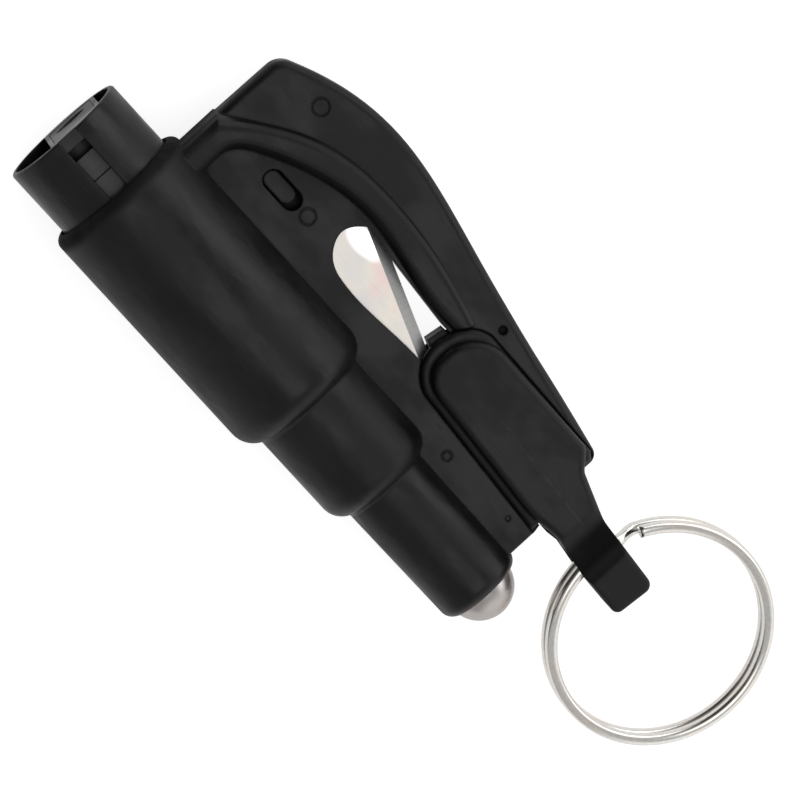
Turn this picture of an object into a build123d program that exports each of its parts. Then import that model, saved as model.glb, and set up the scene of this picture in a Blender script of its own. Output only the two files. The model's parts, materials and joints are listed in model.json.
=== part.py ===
from build123d import *
import os
from math import atan2, degrees, sqrt

# Keychain car escape tool: whistle, seat-belt cutter and spring-loaded window punch.
# Working frame: X along the barrel from the whistle to the steel nose, Y in the plane of the
# flat frame, away from the barrel, Z square to that plane, with the barrel's axis at Y = Z = 0.
# The last section moves everything so that the origin is under the middle of the whole tool.
# Millimetres throughout.

# ---------------------------------------------------------------- driving dimensions
# barrel, in three steps
LARGE_R = 8.1
MEDIUM_R = 6.42
SMALL_R = 4.85
SMALL_END_R = 4.7
LARGE_END = 29.3
MEDIUM_END = 41.0
BARREL_END = 56.35
RIM_ROUND = 1.0
LARGE_SHOULDER = 2.7
MEDIUM_SHOULDER = 2.3
NOSE_ROUND = 1.3
STEP_FILLET = 0.45

# hollow of the barrel
RIM_BORE_R = 7.15
RIM_BORE_DEPTH = 1.3
WHISTLE_BORE_R = 6.6
WHISTLE_BORE_END = 9.0
BULKHEAD_END = 10.2
LINER_BORE_R = 5.05
LINER_BORE_END = 39.8
BUSH_BORE_R = 4.05
POCKET_R = 6.7
POCKETS = ((12.0, 18.5), (20.0, 26.2))

# flat frame, half thicknesses
WEB_HALF = 1.7
FIN_HALF = 2.0
RIB_HALF = 3.8
RAIL_HALF = 1.2
RIB_TIP_HALF = 2.35
RIB_FROM = 1.0
RIB_TO = 35.2
# the rib's rounded section: share of its height, insets of its outer and inner sides, and its start
RIB_LEVELS = (
    (0.0, 0.0, 0.0, 0.95),
    (0.66, 0.15, 0.40, 1.25),
    (0.86, 0.40, 0.75, 1.65),
    (0.97, 0.80, 1.15, 2.15),
    (1.0, 1.20, 1.55, 2.60),
)
EDGE_ROUND = 0.9
POST_HOLE = (11.6, 12.35)
POST = (11.2, 12.35)
# pits and ring marks left by the mould: place, level of the surface, radius and a pit's depth
PITS = ((37.4, 19.3, 2.0, 0.5, 0.6), (52.2, 6.8, 1.7, 0.3, 0.15))
RING_MARKS = ((7.95, 20.8, 2.0, 1.0), (15.3, 12.4, 1.7, 0.95), (43.1, 6.5, 1.7, 0.6))

# cutter blade
BLADE_HALF = 0.35
EDGE_FROM = (17.5, 18.5)
EDGE_TO = (37.0, 11.14)
BEVEL_WIDTH = 1.15
BLADE_BACK_Y = 8.9

# pull-off clip
CLIP_HALF = 3.9
FLANGE_HALF = 2.3
CHEEK_INNER = 1.3
EYE = (60.9, 11.15)
EYE_R = 1.95
SADDLE_X = 60.3
SADDLE_R = 4.6
SADDLE_HALF = 2.7
SADDLE_RIM_ROUND = 0.5
SADDLE_CLEAR = 0.01
END_PAD_HALF = 3.5
END_PAD_FROM = 62.0
END_PAD_ROUND = 0.5
FLANGE_ROUND = 0.6
PAD_ROUND = 0.8
CLIP_GAP = 0.1

# split ring
RING_OD = 25.0
WIRE_R = 0.65
RING_YAW = -3.5
RING_DROOP = 16.2
RING_PULL = 0.5

# whistle
WHISTLE_R = 6.8
WHISTLE_NECK_R = 6.55
WHISTLE_TIP = -7.75
COLLAR_END = 1.2
WHISTLE_INNER_END = 8.9
CHAMBER_R = 5.3
CHAMBER_FROM = -5.0
CHANNEL_WIDTH = 2.3
CHANNEL_Y = 0.1
LIP = (-5.0, -2.3)
LIP_END = 0.9
LIP_TOP = 6.1
BAR_Y = (-1.4, 4.1)
BAR_HALF_Z = 4.6
SLOT_CENTRE = (1.25, -1.6)
SLOT_LENGTH = 3.9
SLOT_HEIGHT = 3.0

# window punch
LINER_R = 5.0
LINER_INNER_R = 4.6
LINER_END = 38.3
DOME_R = 3.65
DOME_CENTRE = 55.65
SLEEVE_TAIL = 36.0
SLEEVE_BORE_R = 2.75
SLEEVE_BORE_END = 51.0
GUIDE_R = 1.45
GUIDE_END = 56.0
TIP_HOLE_R = 0.72
BUSH_FLANGE = (38.4, 39.7)
HAMMER = (25.5, 34.0)
HAMMER_R = 4.5
LATCH = (31.3, 32.6)
SEAT = (10.3, 12.0)
ROD_TAIL = 32.75
ROD_COLLAR = (36.8, 38.2)
ROD_END = 53.0
SPIKE_END = 59.1


# ---------------------------------------------------------------- helpers
def cylinder(radius, start, end):
    """A cylinder about the barrel's axis, between two places along X."""
    return Location((start, 0, 0), (0, 90, 0)) * Cylinder(
        radius, end - start, align=(Align.CENTER, Align.CENTER, Align.MIN)
    )


def tube(outer, inner, start, end):
    """A plain tube about the barrel's axis."""
    return cylinder(outer, start, end) - cylinder(inner, start - 1, end + 1)


def slab(face, low, high):
    """A flat face drawn at Z = 0, made solid between two heights."""
    return Pos(0, 0, low) * extrude(face, high - low, dir=(0, 0, 1))


def shoulder(end, high, low, radius):
    """The rounded step from one barrel radius down to the next: its arc and where it starts."""
    start = end - sqrt(radius**2 - (radius - (high - low)) ** 2)
    centre = (start, high - radius)
    middle = ((start + end) / 2 - centre[0]) / radius
    over = (start + radius * middle, centre[1] + radius * sqrt(1 - middle**2))
    return start, ThreePointArc((start, high), over, (end, low))


def rounded_outline(corners):
    """A flat face from corners given as x, y and the radius that rounds each."""
    face = make_face(Polyline(*[(x, y) for x, y, _ in corners], close=True))
    for x, y, radius in corners:
        if radius:
            nearest = min(face.vertices(), key=lambda v: (v.X - x) ** 2 + (v.Y - y) ** 2)
            face = fillet(nearest, radius)
    return face


def round_rim(solid, places, radius):
    """Fillets the circular edges whose centres lie at the given places along X."""
    edges = [
        e
        for e in solid.edges().filter_by(GeomType.CIRCLE)
        if any(abs(e.arc_center.X - x) < 0.01 and abs(e.radius - r) < 0.01 for x, r in places)
    ]
    return fillet(edges, radius)


# ---------------------------------------------------------------- shells
def barrel():
    """The stepped barrel as a solid of revolution."""
    large_start, large_arc = shoulder(LARGE_END, LARGE_R, MEDIUM_R, LARGE_SHOULDER)
    medium_start, medium_arc = shoulder(MEDIUM_END, MEDIUM_R, SMALL_R, MEDIUM_SHOULDER)
    turn = sqrt(0.5)
    rim_arc = ThreePointArc(
        (0, LARGE_R - RIM_ROUND),
        (RIM_ROUND * (1 - turn), LARGE_R - RIM_ROUND * (1 - turn)),
        (RIM_ROUND, LARGE_R),
    )
    nose_arc = ThreePointArc(
        (BARREL_END - NOSE_ROUND, SMALL_END_R),
        (BARREL_END - NOSE_ROUND * (1 - turn), SMALL_END_R - NOSE_ROUND * (1 - turn)),
        (BARREL_END, SMALL_END_R - NOSE_ROUND),
    )
    lines = [
        Line((0, 0), (0, LARGE_R - RIM_ROUND)),
        rim_arc,
        Line((RIM_ROUND, LARGE_R), (large_start, LARGE_R)),
        large_arc,
        Line((LARGE_END, MEDIUM_R), (medium_start, MEDIUM_R)),
        medium_arc,
        Line((MEDIUM_END, SMALL_R), (BARREL_END - NOSE_ROUND, SMALL_END_R)),
        nose_arc,
        Line((BARREL_END, SMALL_END_R - NOSE_ROUND), (BARREL_END, 0)),
        Line((BARREL_END, 0), (0, 0)),
    ]
    face = make_face(Curve() + lines)
    steps = [
        v
        for v in face.vertices()
        if (abs(v.X - LARGE_END) < 0.01 or abs(v.X - MEDIUM_END) < 0.01) and v.Y > 1
    ]
    face = fillet(steps, STEP_FILLET)
    return revolve(face, Axis.X)


def hollow():
    """Everything that is taken out of the middle of the barrel."""
    cut = cylinder(RIM_BORE_R, -1, RIM_BORE_DEPTH)
    cut += cylinder(WHISTLE_BORE_R, RIM_BORE_DEPTH - 0.5, WHISTLE_BORE_END)
    cut += cylinder(LINER_BORE_R, BULKHEAD_END, LINER_BORE_END)
    cut += cylinder(BUSH_BORE_R, LINER_BORE_END - 0.5, BARREL_END + 1)
    for start, end in POCKETS:
        cut += cylinder(POCKET_R, start, end)
    return cut


def frame_face():
    """The outline of the whole flat frame, with its lower side inside the barrel."""
    arch = Spline(
        (1.38, 21.1),
        (9, 24.1),
        (15.5, 24.88),
        (23, 24.05),
        (31, 22.3),
        (41, 20.25),
        (53.8, 17.85),
        tangents=[(1, 0.5), (1, -0.2)],
    )
    lines = [
        Line((1.05, 0), (1.38, 21.1)),
        arch,
        Line((53.8, 17.85), (53.75, 15.0)),
        Line((53.75, 15.0), (55.2, 7.9)),
        Line((55.2, 7.9), (55.2, 0)),
        Line((55.2, 0), (1.05, 0)),
    ]
    face = make_face(Curve() + lines)
    for corner, radius in (((1.38, 21.1), 2.2), ((53.8, 17.85), 1.2)):
        nearest = min(face.vertices(), key=lambda v: (v.X - corner[0]) ** 2 + (v.Y - corner[1]) ** 2)
        face = fillet(nearest, radius)
    return face


def web_face():
    """The part of the frame that lies lower than the fin: beside the barrel and under the window."""
    lines = [
        Line((4.0, 0), (4.0, 12.5)),
        Line((4.0, 12.5), (9.0, 16.6)),
        Line((9.0, 16.6), (15.0, 18.2)),
        Line((15.0, 18.2), (21.0, 18.4)),
        Line((21.0, 18.4), (30.0, 17.3)),
        Line((30.0, 17.3), (35.4, 16.3)),
        Line((35.4, 16.3), (36.0, 10.8)),
        Line((36.0, 10.8), (60.0, 8.9)),
        Line((60.0, 8.9), (60.0, 0)),
        Line((60.0, 0), (4.0, 0)),
    ]
    return make_face(Curve() + lines)


def opening_face():
    """The window, the gap at the blade's edge and the belt slot, as one opening."""
    lines = [
        Line((62.0, 8.25), (37.6, 9.9)),
        Line((37.6, 9.9), (34.6, 11.05)),
        Spline((34.6, 11.05), (29.5, 10.8), (25.5, 10.52), (22.0, 10.72)),
        Spline(
            (22.0, 10.72),
            (19.9, 11.75),
            (18.85, 13.7),
            (20.3, 16.25),
            tangents=[(-1, 0.2), (0.75, 0.65)],
        ),
        Line((20.3, 16.25), (25.6, 15.72)),
        Line((25.6, 15.72), (33.0, 15.15)),
        Line((33.0, 15.15), (62.0, 16.3)),
        Line((62.0, 16.3), (62.0, 8.25)),
    ]
    face = make_face(Curve() + lines)
    corners = [v for v in face.vertices() if 33.5 < v.X < 38 and v.Y < 12]
    return fillet(corners, 0.8)


def flange_face(grow):
    """The outline of the clip's cheek, which is also that of its shallow seat in the frame."""
    lines = [
        Line((37.0, 9.02 - grow), (54.7 + 8 * grow, 7.76 - grow)),
        Line((54.7 + 8 * grow, 7.76 - grow), (54.7 + 8 * grow, 15.2 + grow)),
        Line((54.7 + 8 * grow, 15.2 + grow), (53.5 + 8 * grow, 16.2 + grow)),
        Line((53.5 + 8 * grow, 16.2 + grow), (53.5 + 8 * grow, 17.1 + grow)),
        Line((53.5 + 8 * grow, 17.1 + grow), (52.8, 17.72 + grow)),
        Line((52.8, 17.72 + grow), (37.2, 18.1 + grow)),
        ThreePointArc((37.2, 18.1 + grow), (35.1 - grow, 17.1), (33.9 - grow, 14.6)),
        ThreePointArc((33.9 - grow, 14.6), (34.1 - grow, 11.3), (37.0, 9.02 - grow)),
    ]
    return make_face(Curve() + lines)


def rib_outline(outer_inset, inner_inset, root):
    """The rib's outline at one level: its outer and inner sides drawn in, and where it starts."""
    a = outer_inset
    b = inner_inset
    outer = Spline(
        (root, 12.7 - a),
        (5.0 + 0.6 * a, 15.5 - 0.8 * a),
        (10.0 + 0.5 * a, 18.45 - 0.9 * a),
        (15.0 + 0.2 * a, 19.85 - a),
        (21.0, 20.2 - a),
        (28.0 - 0.2 * a, 19.6 - a),
        (RIB_TO - 0.4 * a, 17.95 - 0.9 * a),
    )
    inner = Spline(
        (RIB_TO - 0.4 * a, 15.2 + b),
        (26.5, 15.65 + b),
        (19.5, 16.55 + b),
        (12.0 - 0.3 * b, 15.05 + 0.9 * b),
        (8.0 - 0.5 * b, 13.2 + 0.8 * b),
        (5.35 - 0.8 * b, 11.2 + 0.5 * b),
        (5.0 - 0.9 * b, 9.3),
    )
    lines = [
        outer,
        Line(outer @ 1, inner @ 0),
        inner,
        Line(inner @ 1, (5.0 - 0.9 * b, 5.5)),
        Line((5.0 - 0.9 * b, 5.5), (root, 5.5)),
        Line((root, 5.5), (root, 12.7 - a)),
    ]
    return make_face(Curve() + lines)


def rib():
    """The raised rib that runs up from the barrel and along the arch, and sinks towards the clip."""
    levels = []
    for share, outer_inset, inner_inset, root in RIB_LEVELS:
        rise = share * RIB_HALF
        sink = share * (RIB_HALF - RIB_TIP_HALF)
        tilt = degrees(atan2(sink, RIB_TO - RIB_FROM))
        outline = Pos(-RIB_FROM, 0, 0) * rib_outline(outer_inset, inner_inset, root)
        levels.append(Location((RIB_FROM, 0, rise), (0, tilt, 0)) * outline)
    return loft(levels, ruled=True)


def blade_face(grow):
    """The blade's outline: a trapezium whose slanting side is the sharp edge."""
    shift = grow
    lines = Polyline(
        (EDGE_FROM[0] - shift, EDGE_FROM[1] + shift),
        (EDGE_TO[0] + shift, EDGE_TO[1] + shift),
        (EDGE_TO[0] - 1.6 + shift, BLADE_BACK_Y - shift),
        (EDGE_FROM[0] - 0.7 - shift, BLADE_BACK_Y - shift),
        close=True,
    )
    return make_face(lines)


def half_shell():
    """The front half of the moulded body, above Z = 0, before the locating features."""
    keep = Pos(30, 10, 0) * Box(120, 80, 40, align=(Align.CENTER, Align.CENTER, Align.MIN))
    plate = slab(frame_face(), 0, FIN_HALF)
    rounded = [e for e in plate.edges() if abs(e.center().Z - FIN_HALF) < 0.01 and e.center().Y > 1]
    plate = fillet(rounded, EDGE_ROUND)
    plate -= slab(web_face(), WEB_HALF, FIN_HALF + 1)
    plate += rib()
    plate -= slab(opening_face(), -1, 10)
    plate -= slab(flange_face(CLIP_GAP), RAIL_HALF, 10)
    plate -= slab(blade_face(0.05), -1, BLADE_HALF + 0.05)
    body = plate + (barrel() & keep)
    body -= hollow()
    return body


def oblong(length, width):
    """A slot shape along X, for the locating post and its hole."""
    return SlotOverall(length, width)


def front_shell():
    """Front half: the post shows through its oblong hole, beside the marks of the mould's pins."""
    body = half_shell()
    body -= slab(Pos(*POST_HOLE) * oblong(5.0, 2.3), -1, 5)
    for x, y, level, radius, depth in PITS:
        body -= Pos(x, y, level) * Cylinder(radius, 2 * depth)
    for x, y, level, radius in RING_MARKS:
        ring = Cylinder(radius, 0.24) - Cylinder(radius - 0.22, 0.3)
        body -= Pos(x, y, level) * ring
    return body


def rear_shell():
    """Rear half: the mirror image, with the locating post instead of the hole."""
    body = mirror(half_shell(), about=Plane.XY)
    body += slab(Pos(*POST) * oblong(3.9, 1.8), -0.8, 1.25)
    return body


def cutter_blade():
    """Steel cutter, ground to a sharp edge from both sides."""
    body = slab(blade_face(0.0), -BLADE_HALF, BLADE_HALF)
    run = (EDGE_TO[0] - EDGE_FROM[0], EDGE_TO[1] - EDGE_FROM[1])
    length = sqrt(run[0] ** 2 + run[1] ** 2)
    along = (run[0] / length, run[1] / length)
    tip = 0.03
    section = Polyline(
        (0.5, tip), (0, tip), (-BEVEL_WIDTH, BLADE_HALF), (-BEVEL_WIDTH, 2), (0.5, 2), close=True
    )
    plane = Plane(
        origin=(EDGE_FROM[0] - along[0], EDGE_FROM[1] - along[1], 0),
        x_dir=(-along[1], along[0], 0),
        z_dir=(-along[0], -along[1], 0),
    )
    waste = extrude(plane * make_face(section), -(length + 2))
    lower = mirror(waste, about=Plane.XY)
    return body - waste - lower


# ---------------------------------------------------------------- whistle
def whistle_body():
    """The whistle's tube: mouth end outside the barrel, neck glued inside it."""
    body = cylinder(WHISTLE_R, WHISTLE_TIP, COLLAR_END)
    body = round_rim(body, [(WHISTLE_TIP, WHISTLE_R)], 0.3)
    body += cylinder(WHISTLE_NECK_R, COLLAR_END - 0.5, WHISTLE_INNER_END)
    body -= cylinder(CHAMBER_R, CHAMBER_FROM, WHISTLE_INNER_END + 1)
    face = Circle(WHISTLE_R - 0.55)
    pocket = Location((WHISTLE_TIP - 0.5, 0, 0), (0, 90, 0)) * extrude(face, 2.3)
    bar_mid = (BAR_Y[0] + BAR_Y[1]) / 2
    bar_width = BAR_Y[1] - BAR_Y[0]
    keep = Pos(WHISTLE_TIP, bar_mid, 0) * Box(12, bar_width + 1.0, 20)
    body -= pocket - keep
    seat = Pos(WHISTLE_TIP, bar_mid, 0) * Box(8, bar_width, 2 * BAR_HALF_Z)
    body -= seat
    half = CHANNEL_WIDTH / 2
    profile = Polyline(
        (WHISTLE_TIP - 1, WHISTLE_R - 0.35),
        (-6.3, WHISTLE_R - 0.35),
        (-6.3, CHAMBER_R - 0.8),
        (LIP_END, CHAMBER_R - 0.8),
        (LIP_END, WHISTLE_R + 1),
        (WHISTLE_TIP - 1, WHISTLE_R + 1),
        close=True,
    )
    side = Rot(90, 0, 0) * make_face(profile)
    channel = Pos(0, CHANNEL_Y + half, 0) * extrude(side, CHANNEL_WIDTH, dir=(0, -1, 0))
    return body - channel


def windway_block():
    """The bar across the whistle's mouth, with its blowing slot, and the lip that lies in the channel."""
    mid = (BAR_Y[0] + BAR_Y[1]) / 2
    width = BAR_Y[1] - BAR_Y[0]
    block = Pos(WHISTLE_TIP + 0.05, mid, 0) * Box(
        3.6, width - 0.1, 2 * BAR_HALF_Z - 0.1, align=(Align.MIN, Align.CENTER, Align.CENTER)
    )
    profile = Polyline(
        (LIP[0], BAR_HALF_Z - 0.4),
        (LIP[0], LIP_TOP - 0.1),
        (LIP[1] - 0.12, LIP_TOP),
        (LIP[1] - 0.12, LIP_TOP - 0.3),
        (LIP[1], LIP_TOP - 0.3),
        (LIP[1], LIP_TOP),
        (LIP_END, LIP_TOP),
        (LIP_END, BAR_HALF_Z - 0.4),
        close=True,
    )
    side = Rot(90, 0, 0) * make_face(profile)
    lip_width = CHANNEL_WIDTH - 0.06
    block += Pos(0, CHANNEL_Y + lip_width / 2, 0) * extrude(side, lip_width, dir=(0, -1, 0))
    half = SLOT_LENGTH / 2
    rise = SLOT_HEIGHT / 2
    top = ThreePointArc((-half, 0), (0, rise), (half, 0))
    low = ThreePointArc((half, 0), (0, -rise), (-half, 0))
    slot = Plane.YZ.offset(WHISTLE_TIP - 1) * Pos(*SLOT_CENTRE) * make_face(Curve() + [top, low])
    return block - extrude(slot, 8)


def whistle_plug():
    """Closes the inner end of the whistle's chamber."""
    plug = cylinder(CHAMBER_R, WHISTLE_INNER_END - 1.8, WHISTLE_INNER_END)
    return plug - cylinder(3.6, WHISTLE_INNER_END - 1.0, WHISTLE_INNER_END + 1)


# ---------------------------------------------------------------- window punch
def coil(mean_r, wire_r, start, end, turns):
    """A compression spring about the barrel's axis."""
    length = end - start - 2 * wire_r
    path = Helix(pitch=length / turns, height=length, radius=mean_r)
    section = Plane(origin=path @ 0, z_dir=path % 0) * Circle(wire_r)
    wire = sweep(section, path=path, is_frenet=True)
    return Location((start + wire_r, 0, 0), (0, 90, 0)) * wire


def liner_tube():
    """Steel tube that guides the hammer."""
    return tube(LINER_R, LINER_INNER_R, BULKHEAD_END + 0.05, LINER_END)


def spring_seat():
    """Disc with a spigot that centres the main spring."""
    return cylinder(LINER_INNER_R - 0.05, *SEAT) + cylinder(2.6, SEAT[1] - 0.2, SEAT[1] + 2.0)


def hammer():
    """Steel block that strikes the rod, with a cross slot for the latch and a groove for its spring."""
    body = cylinder(HAMMER_R, *HAMMER)
    body = round_rim(body, [(HAMMER[0], HAMMER_R), (HAMMER[1], HAMMER_R)], 0.3)
    body -= cylinder(1.3, LATCH[0] - 3.0, HAMMER[1] + 1)
    middle = (LATCH[0] + LATCH[1]) / 2
    body -= Pos(middle, 0, 0) * Box(LATCH[1] - LATCH[0] + 0.1, 20, 3.5)
    body -= tube(HAMMER_R + 1, 3.85, LATCH[0] - 0.05, LATCH[1] + 0.05)
    return body


def release_latch():
    """Sliding plate whose off-centre hole holds the rod back until the end of the stroke."""
    middle = (LATCH[0] + LATCH[1]) / 2
    plate = Pos(middle, 0, 0) * Box(LATCH[1] - LATCH[0], 7.4, 3.4)
    plate &= cylinder(3.75, *LATCH)
    return plate - Pos(0, -0.6, 0) * cylinder(1.25, LATCH[0] - 1, LATCH[1] + 1)


def latch_spring():
    """Open wire ring that pushes the latch off centre."""
    middle = (LATCH[0] + LATCH[1]) / 2
    ring = tube(4.35, 3.9, middle - 0.3, middle + 0.3)
    return ring - Pos(middle, 5, 0) * Box(2, 6, 4.4)


def nose_bush():
    """Flanged bush that guides the steel nose in the small end of the barrel."""
    body = cylinder(LINER_BORE_R - 0.05, *BUSH_FLANGE)
    body += cylinder(BUSH_BORE_R - 0.05, BUSH_FLANGE[1] - 0.5, BARREL_END - 0.25)
    return body - cylinder(DOME_R + 0.05, 30, 70)


def nose_dome():
    """Polished steel nose: a sleeve with a round end, pressed against the glass."""
    body = cylinder(DOME_R, SLEEVE_TAIL, DOME_CENTRE) + Pos(DOME_CENTRE, 0, 0) * Sphere(DOME_R)
    body -= cylinder(SLEEVE_BORE_R, SLEEVE_TAIL - 1, SLEEVE_BORE_END)
    body -= cylinder(GUIDE_R, SLEEVE_BORE_END - 1, GUIDE_END)
    body -= cylinder(TIP_HOLE_R, GUIDE_END - 1, DOME_CENTRE + DOME_R + 1)
    return body - tube(DOME_R + 1, 3.3, 37.5, 38.3)


def retaining_ring():
    """Open ring in the nose's groove, which stops it against the bush."""
    ring = tube(4.45, 3.32, 37.55, 38.25)
    return ring - Pos(37.9, 0, -4) * Box(2, 2.4, 4)


def striker_rod():
    """Stepped rod that carries the spike; its tail bears on the latch."""
    body = cylinder(1.15, ROD_TAIL, ROD_COLLAR[0] + 0.2)
    body += cylinder(2.6, *ROD_COLLAR)
    body += cylinder(GUIDE_R - 0.05, ROD_COLLAR[1] - 0.2, ROD_END)
    return body - cylinder(0.5, ROD_END - 3, ROD_END + 1)


def spike_tip():
    """Hard carbide point, fixed in the end of the rod."""
    shank_end = SPIKE_END - 1.3
    body = cylinder(0.65, ROD_END, shank_end) + cylinder(0.48, ROD_END - 2.9, ROD_END + 0.5)
    cone = Location((shank_end, 0, 0), (0, 90, 0)) * Cone(
        0.65, 0.05, 1.3, align=(Align.CENTER, Align.CENTER, Align.MIN)
    )
    return body + cone


# ---------------------------------------------------------------- clip and ring
def pad_face():
    """The clip's raised pad, neck and eye seen from the front."""
    return rounded_outline(
        [
            (34.95, 10.0, 3.0),
            (53.0, 8.65, 8.0),
            (57.0, 9.2, 8.0),
            (61.5, 8.55, 4.0),
            (67.0, 8.3, 0.8),
            (67.4, 13.15, 1.0),
            (58.7, 13.9, 5.0),
            (53.7, 15.75, 1.5),
            (51.9, 17.6, 1.4),
            (34.95, 17.9, 4.3),
        ]
    )


def clip_web_face():
    """The tongue that fills the belt slot and covers the cutting edge."""
    slope = (EDGE_TO[1] - EDGE_FROM[1]) / (EDGE_TO[0] - EDGE_FROM[0])
    gap = 0.3

    def edge_y(x):
        return EDGE_FROM[1] + slope * (x - EDGE_FROM[0]) + gap

    lines = Polyline(
        (33.25, 15.02),
        (32.95, edge_y(32.95)),
        (38.0, edge_y(38.0)),
        (39.4, 9.9),
        (56.0, 8.8),
        (58.5, 9.2),
        (58.5, 13.9),
        (54.0, 15.3),
        (53.0, 15.75),
        close=True,
    )
    return make_face(lines)


def raised(face, low, high, radius):
    """A slab between two heights with its upper rim rounded."""
    block = slab(face, low, high)
    rim = [e for e in block.edges() if abs(e.center().Z - high) < 0.01]
    return fillet(rim, radius)


def saddle_waste():
    """What the saddle over the eye takes out of the front: a hollow with rounded rims."""
    front_top = CLIP_HALF + SADDLE_CLEAR
    end_top = END_PAD_HALF + SADDLE_CLEAR
    centre = SADDLE_HALF + SADDLE_R
    start = (SADDLE_X - sqrt(SADDLE_R**2 - (centre - front_top) ** 2), front_top)
    end = (SADDLE_X + sqrt(SADDLE_R**2 - (centre - end_top) ** 2), end_top)
    far = 2 * SADDLE_R
    lines = [
        Line((SADDLE_X - far, front_top), start),
        ThreePointArc(start, (SADDLE_X, SADDLE_HALF), end),
        Line(end, (SADDLE_X + far, end_top)),
        Line((SADDLE_X + far, end_top), (SADDLE_X + far, centre)),
        Line((SADDLE_X + far, centre), (SADDLE_X - far, centre)),
        Line((SADDLE_X - far, centre), (SADDLE_X - far, front_top)),
    ]
    face = make_face(Curve() + lines)
    rims = [v for v in face.vertices() if abs(v.X - SADDLE_X) < SADDLE_R]
    face = fillet(rims, SADDLE_RIM_ROUND)
    return Pos(0, 3 * EYE[1], 0) * extrude(Rot(90, 0, 0) * face, 4 * EYE[1], dir=(0, -1, 0))


def guard_clip():
    """Pull-off clip: it covers the blade, slides out of the slot and carries the key ring."""
    clip = slab(clip_web_face(), -CHEEK_INNER - 0.1, CHEEK_INNER + 0.1)
    cheek = raised(flange_face(0.0), CHEEK_INNER, FLANGE_HALF, FLANGE_ROUND)
    past_frame = Pos(END_PAD_FROM, 0, 0) * Box(20, 60, 20, align=(Align.MIN, Align.CENTER, Align.CENTER))
    cheek += raised(pad_face(), CHEEK_INNER, CLIP_HALF, PAD_ROUND) - past_frame
    cheek += raised(pad_face(), CHEEK_INNER, END_PAD_HALF, END_PAD_ROUND) & Pos(-1, 0, 0) * past_frame
    clip += cheek
    clip += mirror(cheek, about=Plane.XY)
    tail = slab(pad_face(), -CHEEK_INNER - 0.1, CHEEK_INNER + 0.1)
    clip += tail & (Pos(63.5, 11, 0) * Box(16, 20, 20))
    waste = saddle_waste()
    clip -= waste
    clip -= mirror(waste, about=Plane.XY)
    bore = Location((EYE[0], EYE[1], 0), (90, 0, RING_YAW)) * Cylinder(EYE_R, 20)
    return clip - bore


def key_ring():
    """Two turns of round spring wire, lying one on the other."""
    mean = RING_OD / 2 - WIRE_R
    turns = Pos(mean, WIRE_R - 0.02) * Circle(WIRE_R) + Pos(mean, -WIRE_R + 0.02) * Circle(WIRE_R)
    ring = revolve(Rot(90, 0, 0) * turns, Axis.Z)
    place = Location((EYE[0], EYE[1], 0)) * Rot(0, 0, RING_YAW) * Rot(0, RING_DROOP, 0)
    return place * Pos(mean + RING_PULL, 0, 0) * ring


# ---------------------------------------------------------------- placing and writing
NODES = {
    "front_shell": front_shell(),
    "rear_shell": rear_shell(),
    "cutter_blade": cutter_blade(),
    "whistle_body": whistle_body(),
    "windway_block": windway_block(),
    "whistle_plug": whistle_plug(),
    "liner_tube": liner_tube(),
    "spring_seat": spring_seat(),
    "main_spring": coil(3.6, 0.4, SEAT[1], HAMMER[0], 6),
    "hammer": hammer(),
    "release_latch": release_latch(),
    "latch_spring": latch_spring(),
    "nose_bush": nose_bush(),
    "nose_dome": nose_dome(),
    "retaining_ring": retaining_ring(),
    "striker_rod": striker_rod(),
    "spike_tip": spike_tip(),
    "return_spring": coil(2.1, 0.25, ROD_COLLAR[1], SLEEVE_BORE_END, 9),
    "guard_clip": guard_clip(),
    "key_ring": key_ring(),
}

boxes = [shape.bounding_box() for shape in NODES.values()]
low = [min(b.min.X for b in boxes), min(b.min.Y for b in boxes), min(b.min.Z for b in boxes)]
high = [max(b.max.X for b in boxes), max(b.max.Y for b in boxes), max(b.max.Z for b in boxes)]
shift = Pos(-(low[0] + high[0]) / 2, -(low[1] + high[1]) / 2, -low[2])
os.makedirs("parts", exist_ok=True)
for name, shape in NODES.items():
    export_step(shift * shape, f"parts/{name}.step")
print("moved by", shift.position, "size", [b - a for a, b in zip(low, high)])
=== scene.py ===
import json
import math

import bmesh
import bpy
from mathutils import Matrix, Vector


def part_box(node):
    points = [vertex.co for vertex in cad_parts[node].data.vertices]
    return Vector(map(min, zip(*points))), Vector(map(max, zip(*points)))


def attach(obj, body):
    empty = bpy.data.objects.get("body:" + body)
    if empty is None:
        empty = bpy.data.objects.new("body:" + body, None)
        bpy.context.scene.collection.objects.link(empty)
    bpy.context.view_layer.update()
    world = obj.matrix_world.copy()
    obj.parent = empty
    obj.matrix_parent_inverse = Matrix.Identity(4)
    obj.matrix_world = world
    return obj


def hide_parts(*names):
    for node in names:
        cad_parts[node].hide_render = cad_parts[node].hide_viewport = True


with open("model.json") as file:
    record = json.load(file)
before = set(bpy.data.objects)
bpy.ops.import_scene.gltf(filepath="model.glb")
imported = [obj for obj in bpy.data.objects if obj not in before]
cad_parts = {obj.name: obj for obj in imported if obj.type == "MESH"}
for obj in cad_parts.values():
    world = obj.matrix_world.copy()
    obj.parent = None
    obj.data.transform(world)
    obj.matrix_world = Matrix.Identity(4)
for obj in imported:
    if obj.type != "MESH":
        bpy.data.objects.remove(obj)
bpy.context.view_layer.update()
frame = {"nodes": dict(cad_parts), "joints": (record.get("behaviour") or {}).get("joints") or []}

# Keychain car escape tool on a pale floor. Metres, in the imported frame.
# TOOL is where the mouth rim's plane meets the barrel's axis; local() turns millimetres along the
# barrel, towards the arch and square to the flat frame into a point of the frame.
MM = 0.001
shell_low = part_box("front_shell")[0]
nose_low, nose_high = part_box("nose_dome")
TOOL = Vector((shell_low.x, (nose_low.y + nose_high.y) / 2, (nose_low.z + nose_high.z) / 2))


def local(x, y, z=0.0):
    return TOOL + Vector((x, y, z)) * MM


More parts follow.
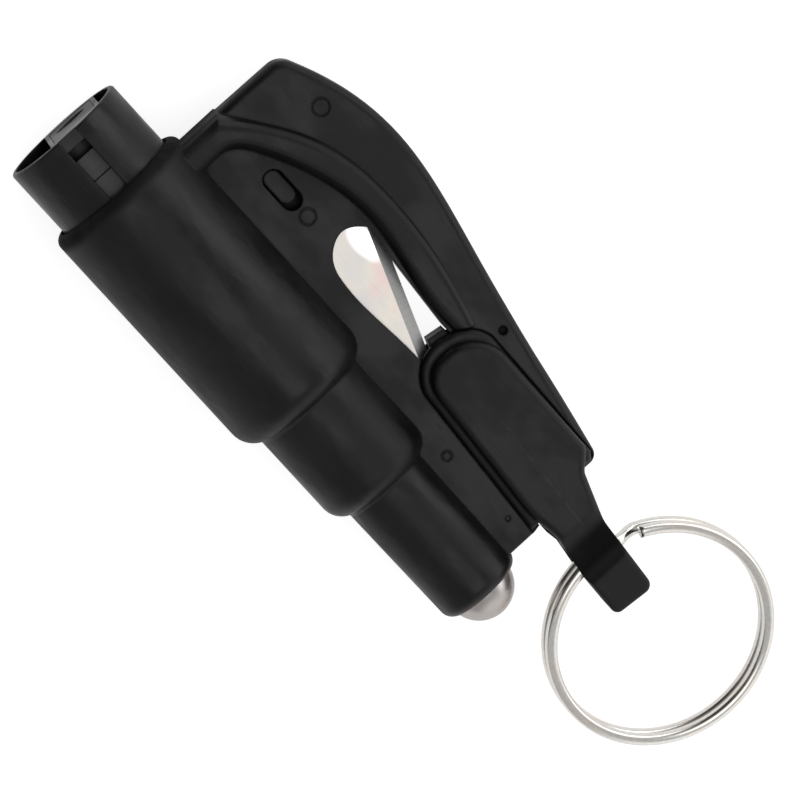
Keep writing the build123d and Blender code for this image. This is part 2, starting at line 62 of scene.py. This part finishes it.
# ---------------------------------------------------------------- node helpers
class Tree:
    """A few short ways to add and join shader nodes."""

    def __init__(self, tree):
        self.tree = tree
        tree.nodes.clear()

    def node(self, kind, **settings):
        n = self.tree.nodes.new(kind)
        for key, value in settings.items():
            setattr(n, key, value)
        return n

    def put(self, socket, value):
        if isinstance(value, bpy.types.NodeSocket):
            self.tree.links.new(value, socket)
        else:
            socket.default_value = value

    def math(self, operation, a, b=0.0, c=0.0):
        n = self.node("ShaderNodeMath", operation=operation)
        for socket, value in zip(n.inputs, (a, b, c)):
            self.put(socket, value)
        return n.outputs[0]

    def vector(self, operation, a, b=(0.0, 0.0, 0.0), scale=1.0):
        n = self.node("ShaderNodeVectorMath", operation=operation)
        self.put(n.inputs[0], a)
        if operation == "SCALE":
            n.inputs["Scale"].default_value = scale
        else:
            self.put(n.inputs[1], b)
        return n.outputs["Value" if operation in ("DOT_PRODUCT", "LENGTH", "DISTANCE") else "Vector"]

    def ramp(self, value, low, high, to_low=0.0, to_high=1.0):
        """value, from low..high to to_low..to_high, eased at both ends."""
        n = self.node("ShaderNodeMapRange", interpolation_type="SMOOTHSTEP")
        for socket, v in zip(n.inputs, (value, low, high, to_low, to_high)):
            self.put(socket, v)
        return n.outputs[0]

    def noise(self, where, scale, detail=2.0, rough=0.5, stretch=(1.0, 1.0, 1.0)):
        """Fractal noise with scale features per millimetre."""
        stretched = self.vector("MULTIPLY", where, stretch)
        n = self.node("ShaderNodeTexNoise")
        self.put(n.inputs["Vector"], stretched)
        n.inputs["Scale"].default_value = scale
        n.inputs["Detail"].default_value = detail
        n.inputs["Roughness"].default_value = rough
        return n.outputs["Fac"]

    def mix(self, factor, a, b):
        n = self.node("ShaderNodeMix", data_type="RGBA")
        self.put(n.inputs[0], factor)
        self.put(n.inputs[6], a)
        self.put(n.inputs[7], b)
        return n.outputs[2]

    def painted_shade(self, reach):
        """Painted shade: 1 in tight inner corners, 0 in the open, from ambient occlusion; reach is
        in millimetres.
        """
        n = self.node("ShaderNodeAmbientOcclusion", samples=8)
        n.inputs["Distance"].default_value = reach * MM
        return self.ramp(n.outputs["AO"], 0.72, 0.30)

    def axis(self, where, name):
        """One coordinate of a vector."""
        n = self.node("ShaderNodeSeparateXYZ")
        self.put(n.inputs[0], where)
        return n.outputs[name]

    def bump(self, height, distance, normal=None):
        """Height 0..1 over a depth given in millimetres."""
        n = self.node("ShaderNodeBump")
        n.inputs["Strength"].default_value = 1.0
        n.inputs["Distance"].default_value = distance * MM
        self.put(n.inputs["Height"], height)
        if normal is not None:
            self.put(n.inputs["Normal"], normal)
        return n.outputs["Normal"]


def grey(level):
    return (level, level, level, 1.0)


def material(name):
    """A new material: its tree, its Principled shader and coordinates in millimetres from TOOL."""
    mat = bpy.data.materials.new(name)
    mat.use_nodes = True
    t = Tree(mat.node_tree)
    out = t.node("ShaderNodeOutputMaterial")
    bsdf = t.node("ShaderNodeBsdfPrincipled")
    t.tree.links.new(bsdf.outputs[0], out.inputs[0])
    coords = t.node("ShaderNodeTexCoord")
    from_tool = t.vector("SUBTRACT", coords.outputs["Object"], tuple(TOOL))
    where = t.vector("SCALE", from_tool, scale=1 / MM)
    return mat, t, bsdf, where


def edge_mask(t, radius):
    """1 along sharp outer edges, and the normal that rounds them."""
    bevel = t.node("ShaderNodeBevel", samples=4)
    bevel.inputs["Radius"].default_value = radius * MM
    geometry = t.node("ShaderNodeNewGeometry")
    same = t.vector("DOT_PRODUCT", bevel.outputs[0], geometry.outputs["Normal"])
    return t.ramp(same, 0.995, 0.86), bevel.outputs[0]


# ---------------------------------------------------------------- places on the tool, in millimetres
# where the band of painted shade round the barrel's mouth is full and where it has faded out
RIM_SHADE_BAND = (0.7, 1.9)
# middle of the hollow over the ring's eye, and how far to each side it is dull and darkened with
# painted shade
SADDLE_X = 60.2
SADDLE_SHADE_REACH = (0.9, 2.3)
# the faint line down the clip's pad: its slope, its height at x = 0 and where it fades in and out
LINE_SLOPE = -0.072
LINE_Y = 16.14
LINE_START = (42.0, 46.0)
LINE_END = (57.0, 58.0)
# the blade's sharp edge, and a painted highlight: a white patch painted at the upper end of its flat
EDGE_FROM = (17.5, 18.5)
EDGE_TO = (37.0, 11.14)
EDGE_ANGLE = math.atan2(EDGE_FROM[1] - EDGE_TO[1], EDGE_TO[0] - EDGE_FROM[0])
HIGHLIGHT_PATCH = (21.3, 14.9)
HIGHLIGHT_PATCH_STRETCH = 0.55


# ---------------------------------------------------------------- materials
def rim_shade_band(t, where):
    """The band round the barrel's mouth: duller, and darkened with painted shade."""
    return t.ramp(t.axis(where, "X"), RIM_SHADE_BAND[1], RIM_SHADE_BAND[0])


def saddle_shade_band(t, where):
    """The hollow over the ring's eye: duller, and darkened with painted shade."""
    off = t.math("ABSOLUTE", t.math("SUBTRACT", t.axis(where, "X"), SADDLE_X))
    return t.ramp(off, SADDLE_SHADE_REACH[1], SADDLE_SHADE_REACH[0])


def mould_line(t, where):
    """A faint broken line down the middle of the clip's pad."""
    x = t.axis(where, "X")
    fall = t.math("MULTIPLY_ADD", x, LINE_SLOPE, LINE_Y)
    off = t.math("ABSOLUTE", t.math("SUBTRACT", t.axis(where, "Y"), fall))
    off = t.math("MULTIPLY_ADD", t.noise(where, scale=1.3), 0.12, off)
    broken = t.noise(where, scale=0.8, detail=3.0, rough=0.7, stretch=(1.0, 0.2, 0.2))
    run = t.math("MULTIPLY", t.ramp(x, *LINE_START), t.ramp(x, LINE_END[1], LINE_END[0]))
    dashes = t.math("MULTIPLY", t.ramp(off, 0.20, 0.09), t.ramp(broken, 0.44, 0.54))
    return t.math("MULTIPLY", dashes, run)


def moulded_plastic(name, level, roughness, texture, rounding=0.3, dull_and_shade=None, line=None):
    """Black moulded ABS: spark texture, flow marks, light scuffs, rubbed edges, and creases that are
    duller and darkened with painted shade.

    level is the colour's grey, texture and rounding are in millimetres, and the last two arguments
    are functions that mark where the surface is duller and darkened with painted shade, and where it
    carries a pale line.
    """
    mat, t, bsdf, where = material(name)
    # painted shade: ambient occlusion darkens the colour in corners, and roughness rises there
    painted_shade = t.painted_shade(reach=1.2)
    if dull_and_shade:
        painted_shade = t.math("MAXIMUM", painted_shade, dull_and_shade(t, where))
    edges, rounded = edge_mask(t, rounding)
    flow = t.noise(where, scale=0.16, detail=3.0, rough=0.6, stretch=(0.6, 1.0, 1.0))
    grain = t.noise(where, scale=7.0, detail=2.0, rough=0.6)
    spark = t.noise(where, scale=16.0, detail=1.0)
    waves = t.noise(where, scale=0.2, detail=3.0, rough=0.45, stretch=(0.6, 1.0, 1.0))
    scuffs = t.noise(where, scale=0.9, detail=5.0, rough=0.75, stretch=(0.25, 1.3, 1.0))
    scuffs = t.ramp(scuffs, 0.62, 0.74)
    scratch = t.noise(where, scale=2.2, detail=2.0, rough=0.4, stretch=(0.12, 2.6, 1.0))
    scratch = t.ramp(scratch, 0.70, 0.76)
    patches = t.noise(where, scale=1.2, detail=4.0, rough=0.7)
    rubbed = t.math("MULTIPLY", edges, t.ramp(patches, 0.35, 0.65))
    # colour
    tone = t.mix(t.ramp(flow, 0.3, 0.7), grey(level * 0.5), grey(level * 1.6))
    tone = t.mix(t.math("MULTIPLY", scuffs, 0.45), tone, grey(level * 2.8))
    tone = t.mix(t.math("MULTIPLY", rubbed, 0.35), tone, grey(level * 3.2))
    if line:
        tone = t.mix(t.math("MULTIPLY", line(t, where), 0.8), tone, grey(level * 4.0))
    # painted shade: the colour falls to a darker grey in creases and in the marked bands
    t.put(bsdf.inputs["Base Color"], t.mix(painted_shade, tone, grey(level * 0.3)))
    # gloss
    shine = t.math("MULTIPLY_ADD", t.ramp(flow, 0.38, 0.62), 0.20, roughness - 0.10)
    shine = t.math("MULTIPLY_ADD", grain, 0.10, t.math("SUBTRACT", shine, 0.05))
    shine = t.math("MULTIPLY_ADD", scuffs, 0.07, shine)
    shine = t.math("MULTIPLY_ADD", rubbed, -0.08, shine)
    shine = t.math("MULTIPLY_ADD", painted_shade, 0.45, shine)
    t.put(bsdf.inputs["Roughness"], shine)
    # relief
    height = t.bump(waves, 0.3, rounded)
    height = t.bump(grain, texture, height)
    height = t.bump(spark, texture * 0.4, height)
    height = t.bump(scratch, -0.006, height)
    t.put(bsdf.inputs["Normal"], height)
    bsdf.inputs["Specular IOR Level"].default_value = 0.34
    return mat


def worked_steel(name, colour, roughness, lines, depth, tint=None):
    """Bare or plated metal with tool marks.

    lines says how fine the marks are along x, y and z, and depth is in millimetres. Where tint is
    given, the colour drifts towards it in soft clouds.
    """
    mat, t, bsdf, where = material(name)
    edges, rounded = edge_mask(t, 0.12)
    marks = t.noise(where, scale=2.5, detail=4.0, rough=0.7, stretch=lines)
    cloud = t.noise(where, scale=0.22, detail=3.0, rough=0.6)
    smear = t.ramp(t.noise(where, scale=0.8, detail=4.0, rough=0.7), 0.55, 0.75)
    dark = tuple(c * 0.86 for c in colour[:3]) + (1.0,)
    tone = t.mix(t.ramp(marks, 0.3, 0.7), dark, colour)
    tone = t.mix(t.ramp(cloud, 0.35, 0.65, 0.0, 0.6), tone, tint or colour)
    light = tuple(min(1.0, c * 1.12) for c in colour[:3]) + (1.0,)
    tone = t.mix(edges, tone, light)
    t.put(bsdf.inputs["Base Color"], tone)
    bsdf.inputs["Metallic"].default_value = 1.0
    shine = t.math("MULTIPLY_ADD", marks, 0.14, roughness - 0.07)
    shine = t.math("MULTIPLY_ADD", smear, 0.06, shine)
    t.put(bsdf.inputs["Roughness"], shine)
    height = t.bump(marks, depth, rounded)
    t.put(bsdf.inputs["Normal"], t.bump(cloud, depth * 6, height))
    return mat


def blade_steel():
    """Rolled and polished strip, with a ground bevel whose lines run square to the edge."""
    mat, t, bsdf, where = material("blade_steel")
    geometry = t.node("ShaderNodeNewGeometry")
    split = t.node("ShaderNodeSeparateXYZ")
    t.put(split.inputs[0], geometry.outputs["True Normal"])
    ground = t.ramp(t.math("ABSOLUTE", split.outputs["Z"]), 0.985, 0.972)
    turned = t.node("ShaderNodeVectorRotate", rotation_type="Z_AXIS")
    t.put(turned.inputs["Vector"], where)
    turned.inputs["Angle"].default_value = EDGE_ANGLE
    rolled = t.noise(where, scale=3.0, detail=3.0, rough=0.7, stretch=(0.1, 3.0, 1.0))
    lines = t.noise(turned.outputs[0], scale=3.0, detail=3.0, rough=0.8, stretch=(4.0, 0.12, 0.12))
    cloud = t.noise(where, scale=0.16)
    blush = t.noise(t.vector("ADD", where, (31.0, 7.0, 3.0)), scale=0.2)
    straw = (0.54, 0.51, 0.45, 1)
    plain = (0.48, 0.46, 0.45, 1)
    rose = (0.56, 0.44, 0.42, 1)
    streak = (0.40, 0.38, 0.34, 1)
    tone = t.mix(t.ramp(cloud, 0.38, 0.62), straw, plain)
    tone = t.mix(t.ramp(blush, 0.45, 0.62, 0.0, 0.9), tone, rose)
    tone = t.mix(t.ramp(rolled, 0.55, 0.75, 0.0, 0.3), tone, streak)
    # painted highlight: a white patch painted into the blade's colour near the upper end of its flat
    flattened = t.vector("MULTIPLY", where, (HIGHLIGHT_PATCH_STRETCH, 1.0, 0.0))
    highlight_patch = t.vector("DISTANCE", flattened, (HIGHLIGHT_PATCH_STRETCH * HIGHLIGHT_PATCH[0], HIGHLIGHT_PATCH[1], 0.0))
    highlight_patch = t.math("MULTIPLY_ADD", cloud, 0.8, highlight_patch)
    tone = t.mix(t.ramp(highlight_patch, 1.9, 1.1), tone, (1.0, 1.0, 1.0, 1))
    bevel = t.mix(lines, (0.44, 0.44, 0.44, 1), (0.86, 0.86, 0.84, 1))
    t.put(bsdf.inputs["Base Color"], t.mix(ground, tone, bevel))
    bsdf.inputs["Metallic"].default_value = 1.0
    shine = t.math("MULTIPLY_ADD", rolled, 0.10, 0.16)
    t.put(bsdf.inputs["Roughness"], t.math("MULTIPLY_ADD", ground, 0.12, shine))
    height = t.bump(cloud, 0.03)
    height = t.bump(t.math("MULTIPLY", lines, ground), 0.004, height)
    t.put(bsdf.inputs["Normal"], t.bump(rolled, 0.0015, height))
    return mat


black_body = moulded_plastic("black_body", 0.0062, 0.42, 0.004, dull_and_shade=rim_shade_band)
black_clip = moulded_plastic("black_clip", 0.0060, 0.45, 0.005, 0.5, saddle_shade_band, mould_line)
black_whistle = moulded_plastic("black_whistle", 0.0070, 0.36, 0.002, 0.15)
grey_block = moulded_plastic("grey_block", 0.06, 0.45, 0.003, 0.12)
blade = blade_steel()
polished_steel = worked_steel("polished_steel", (0.58, 0.55, 0.53, 1), 0.30, (6.0, 1.0, 1.0), 0.0008,
                              (0.60, 0.53, 0.50, 1))
ring_nickel = worked_steel("ring_nickel", (1.0, 0.99, 0.95, 1), 0.16, (1.0, 1.0, 1.0), 0.0012,
                           (1.0, 0.90, 0.82, 1))
machined_steel = worked_steel("machined_steel", (0.62, 0.61, 0.60, 1), 0.32, (7.0, 0.5, 0.5), 0.004)
spring_steel = worked_steel("spring_steel", (0.45, 0.44, 0.43, 1), 0.28, (1.0, 1.0, 1.0), 0.003)
carbide = worked_steel("carbide", (0.30, 0.30, 0.32, 1), 0.35, (5.0, 5.0, 5.0), 0.003)
bush_dark = worked_steel("bush_dark", (0.16, 0.15, 0.14, 1), 0.40, (7.0, 0.5, 0.5), 0.003)

FINISH = {
    "front_shell": black_body,
    "rear_shell": black_body,
    "whistle_body": black_whistle,
    "whistle_plug": black_whistle,
    "windway_block": grey_block,
    "guard_clip": black_clip,
    "cutter_blade": blade,
    "nose_dome": polished_steel,
    "nose_bush": bush_dark,
    "spike_tip": carbide,
    "liner_tube": machined_steel,
    "spring_seat": machined_steel,
    "hammer": machined_steel,
    "release_latch": machined_steel,
    "striker_rod": machined_steel,
    "main_spring": spring_steel,
    "return_spring": spring_steel,
    "latch_spring": spring_steel,
    "retaining_ring": spring_steel,
}
for name, finish in FINISH.items():
    mesh = frame["nodes"][name].data
    mesh.materials.clear()
    mesh.materials.append(finish)


# ---------------------------------------------------------------- split ring
RING_OD = 25.0
# width of the flattened wire, and half the height of one turn
WIRE = 1.3
LAYER = 0.64
# share of that room which the wire fills: it stays inside the part's box and the turns stay apart
WIRE_FILL = 0.98
LAYER_FILL = 0.97
# below 1, the wire's section is squarer than an ellipse
SECTION_POWER = 0.85
SECTION_POINTS = 20
STEPS_PER_TURN = 160
# how the ring lies: turned about z, drooping towards the floor and pulled out of the eye's middle
YAW = math.radians(-3.5)
DROOP = math.radians(16.2)
RING_PULL = 0.5
# where the cut is, half the angle in which the wire crosses over, and how far from the middle of
# that angle the wire's ends stand, as a share of it
CUT_TURN = math.radians(17)
CUT_HALF = math.radians(6)
CUT_GAP = 1.15


def split_ring():
    """Two turns of spring wire: the first lies on the second, and they cross beside the cut ends."""
    eye = next(j for j in frame["joints"] if j["name"] == "ring_swing")["pos_m"]
    out = Matrix.Rotation(YAW, 3, "Z") @ Matrix.Rotation(DROOP, 3, "Y")
    mean = (RING_OD - WIRE) / 2
    centre = Vector(eye) + out @ Vector((mean + RING_PULL, 0, 0)) * MM

    def layer(turn):
        """Height of the wire's middle: upper turn, then down past the cut, then lower turn."""
        s = (turn - 2 * math.pi + CUT_HALF) / (2 * CUT_HALF)
        s = min(max(s, 0.0), 1.0)
        return LAYER * (1 - 2 * s * s * (3 - 2 * s))

    def squared(value):
        """A sine or cosine, pushed outwards for a squarer section."""
        return abs(value) ** SECTION_POWER * math.copysign(1, value)

    wide = WIRE / 2 * WIRE_FILL
    tall = LAYER * LAYER_FILL
    first = CUT_HALF * CUT_GAP
    last = 4 * math.pi - first
    count = int(STEPS_PER_TURN * (last - first) / (2 * math.pi))
    bm = bmesh.new()
    rings = []
    for i in range(count + 1):
        turn = first + (last - first) * i / count
        angle = math.pi - CUT_TURN - turn
        radial = Vector((math.cos(angle), math.sin(angle), 0))
        loop = []
        for k in range(SECTION_POINTS):
            a = 2 * math.pi * k / SECTION_POINTS
            height = layer(turn) + tall * squared(math.sin(a))
            p = radial * (mean + wide * squared(math.cos(a))) + Vector((0, 0, height))
            loop.append(bm.verts.new(centre + out @ p * MM))
        rings.append(loop)
    for a, b in zip(rings, rings[1:]):
        for k in range(SECTION_POINTS):
            j = (k + 1) % SECTION_POINTS
            bm.faces.new((a[k], a[j], b[j], b[k]))
    bm.faces.new(rings[0])
    bm.faces.new(list(reversed(rings[-1])))
    bmesh.ops.recalc_face_normals(bm, faces=bm.faces)
    mesh = bpy.data.meshes.new("split_ring")
    bm.to_mesh(mesh)
    bm.free()
    for polygon in mesh.polygons:
        polygon.use_smooth = len(polygon.vertices) == 4
    mesh.materials.append(ring_nickel)
    ring = bpy.data.objects.new("split_ring", mesh)
    bpy.context.scene.collection.objects.link(ring)
    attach(ring, "ring")
    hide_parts("key_ring")


split_ring()


# ---------------------------------------------------------------- floor, light and camera
FLOOR_REACH = 3.0
FLOOR_GLOW = 0.36
FLOOR_GLOW_SEEN = 0.42


def floor():
    """A pale sheet under the tool, with a glow of its own that is stronger for the camera."""
    bm = bmesh.new()
    side = FLOOR_REACH
    corners = [(-side, -side), (side, -side), (side, side), (-side, side)]
    bm.faces.new([bm.verts.new((x, y, 0.0)) for x, y in corners])
    mesh = bpy.data.meshes.new("floor")
    bm.to_mesh(mesh)
    bm.free()
    mat = bpy.data.materials.new("floor")
    mat.use_nodes = True
    t = Tree(mat.node_tree)
    out = t.node("ShaderNodeOutputMaterial")
    bsdf = t.node("ShaderNodeBsdfPrincipled")
    t.tree.links.new(bsdf.outputs[0], out.inputs[0])
    bsdf.inputs["Base Color"].default_value = (0.75, 0.75, 0.75, 1)
    bsdf.inputs["Roughness"].default_value = 0.9
    bsdf.inputs["Specular IOR Level"].default_value = 0.0
    bsdf.inputs["Emission Color"].default_value = (1, 1, 1, 1)
    path = t.node("ShaderNodeLightPath")
    glow = t.math("MULTIPLY_ADD", path.outputs["Is Camera Ray"], FLOOR_GLOW_SEEN, FLOOR_GLOW)
    t.put(bsdf.inputs["Emission Strength"], glow)
    mesh.materials.append(mat)
    sheet = bpy.data.objects.new("floor", mesh)
    bpy.context.scene.collection.objects.link(sheet)


# the dome's strength on the whistle's side and on the ring's side, and what is added low at the ring
DOME_DIM = 0.06
DOME_BRIGHT = 0.52
DOME_LOW_EXTRA = 0.60
# the long panel: lean from overhead towards the arch, its full and faded half widths, its strength
PANEL_LEAN = math.radians(63)
PANEL_FULL = math.radians(6)
PANEL_FADED = math.radians(23)
PANEL_STRENGTH = 1.7
# the round patch: lean from overhead towards the ring, its full and faded radii, its strength
PATCH_LEAN = math.radians(10)
PATCH_FULL = math.radians(9)
PATCH_FADED = math.radians(22)
PATCH_STRENGTH = 1.45


def studio():
    """Soft surroundings: a dome that falls off towards the whistle, a long panel and a patch."""
    world = bpy.data.worlds.new("studio")
    bpy.context.scene.world = world
    world.use_nodes = True
    t = Tree(world.node_tree)
    out = t.node("ShaderNodeOutputWorld")
    background = t.node("ShaderNodeBackground")
    t.tree.links.new(background.outputs[0], out.inputs[0])
    coords = t.node("ShaderNodeTexCoord")
    direction = coords.outputs["Generated"]
    split = t.node("ShaderNodeSeparateXYZ")
    t.put(split.inputs[0], direction)
    lean = t.math("ARCTAN2", split.outputs["Y"], split.outputs["Z"])
    off_panel = t.math("ABSOLUTE", t.math("SUBTRACT", lean, PANEL_LEAN))
    panel = t.ramp(off_panel, PANEL_FADED, PANEL_FULL)
    panel = t.math("MULTIPLY", panel, t.ramp(t.math("ABSOLUTE", split.outputs["X"]), 0.92, 0.6))
    patch_middle = (math.sin(PATCH_LEAN), 0.0, math.cos(PATCH_LEAN))
    overhead = t.vector("DOT_PRODUCT", direction, patch_middle)
    patch = t.ramp(overhead, math.cos(PATCH_FADED), math.cos(PATCH_FULL))
    dome = t.ramp(split.outputs["X"], -0.65, 0.0, DOME_DIM, DOME_BRIGHT)
    dome = t.math("ADD", dome, t.ramp(split.outputs["X"], 0.70, 0.92, 0.0, DOME_LOW_EXTRA))
    level = t.math("MULTIPLY_ADD", panel, PANEL_STRENGTH, dome)
    level = t.math("MULTIPLY_ADD", patch, PATCH_STRENGTH, level)
    path = t.node("ShaderNodeLightPath")
    seen = t.math("MAXIMUM", level, path.outputs["Is Camera Ray"])
    t.put(background.inputs["Strength"], seen)


CAMERA_TARGET = local(35.881, 6.823)
CAMERA_TILT = math.radians(10)
CAMERA_ROLL = math.radians(47.6)
CAMERA_DISTANCE = 0.6
CAMERA_LENS = 265.14


def camera():
    """Looks down on the flat frame, tilted towards the whistle, the barrel falling to the right."""
    back = Vector((-math.sin(CAMERA_TILT), 0, math.cos(CAMERA_TILT)))
    across = Vector((math.cos(CAMERA_TILT), 0, math.sin(CAMERA_TILT)))
    arch = Vector((0, 1, 0))
    right = across * math.cos(CAMERA_ROLL) + arch * math.sin(CAMERA_ROLL)
    up = arch * math.cos(CAMERA_ROLL) - across * math.sin(CAMERA_ROLL)
    place = CAMERA_TARGET + back * CAMERA_DISTANCE
    data = bpy.data.cameras.new("camera")
    data.lens = CAMERA_LENS
    data.clip_start = 0.01
    data.clip_end = 10.0
    cam = bpy.data.objects.new("camera", data)
    bpy.context.scene.collection.objects.link(cam)
    cam.matrix_world = Matrix((
        (right.x, up.x, back.x, place.x),
        (right.y, up.y, back.y, place.y),
        (right.z, up.z, back.z, place.z),
        (0, 0, 0, 1),
    ))
    bpy.context.scene.camera = cam


floor()
studio()
camera()
bpy.context.scene.view_settings.view_transform = "Standard"
bpy.context.view_layer.update()
